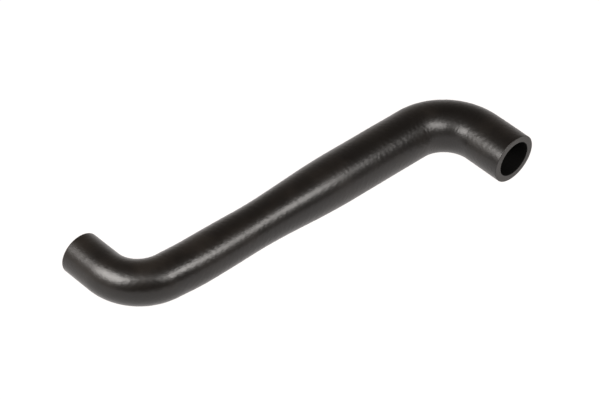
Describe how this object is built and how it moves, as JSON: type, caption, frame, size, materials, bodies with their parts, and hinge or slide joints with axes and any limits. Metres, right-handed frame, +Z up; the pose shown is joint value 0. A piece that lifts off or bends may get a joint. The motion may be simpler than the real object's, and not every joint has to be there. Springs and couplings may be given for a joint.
{
  "type": "coolant bypass hose",
  "caption": "Moulded black rubber hose with an elbow at each end, turned to opposite sides, and a taper between, that carries engine coolant past the radiator.",
  "frame": {"origin": "middle of the lying hose's footprint, on the surface that it lies on", "axes": "+X along the straight run from the small mouth's elbow to the large mouth's elbow, +Y the way the small mouth faces, +Z up from the surface"},
  "size_m": [0.2978, 0.1154, 0.0364],
  "materials": {
    "rubber": "matt to satin black with a faint knit relief on the skin, plain and greyer on the cut ends"
  },
  "bodies": {
    "root": {"hose": "rubber"}
  },
  "joints": []
}
